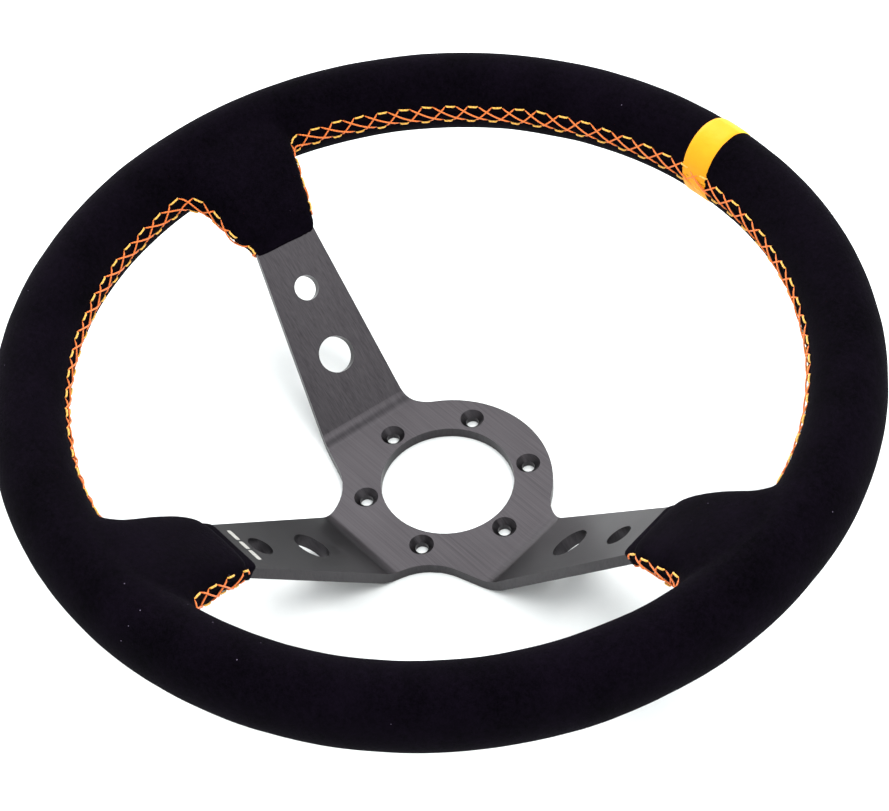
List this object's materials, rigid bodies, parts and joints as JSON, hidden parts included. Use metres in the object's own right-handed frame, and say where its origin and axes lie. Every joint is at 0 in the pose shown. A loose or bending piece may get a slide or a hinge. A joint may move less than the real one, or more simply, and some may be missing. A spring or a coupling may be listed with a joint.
{
  "type": "steering wheel",
  "caption": "Deep-dish three-spoke steering wheel with a padded suede rim, laced inner seam, bent spoke plate and a countersunk bolt circle for a boss or hub.",
  "frame": {"origin": "centre of the hub's back face, where the wheel bolts to a boss or hub", "axes": "+Z along the steering axis towards the driver, +Y towards the centre mark at twelve o'clock"},
  "size_m": [0.35, 0.3507, 0.0995],
  "materials": {
    "anodised_plate": "brushed, black anodised",
    "ring_metal": "mill",
    "rivet_metal": "mill",
    "moulded_foam": "matt",
    "black_suede": "napped suede",
    "mark_band": "smooth",
    "orange_thread": "twisted thread"
  },
  "bodies": {
    "root": {"spoke_plate": "anodised_plate", "rim_ring": "ring_metal", "spoke_rivets": "rivet_metal", "rim_foam": "moulded_foam", "suede_cover": "black_suede", "centre_mark": "mark_band", "lacing_upper": "orange_thread", "lacing_lower_left": "orange_thread", "lacing_lower_right": "orange_thread"}
  },
  "joints": []
}
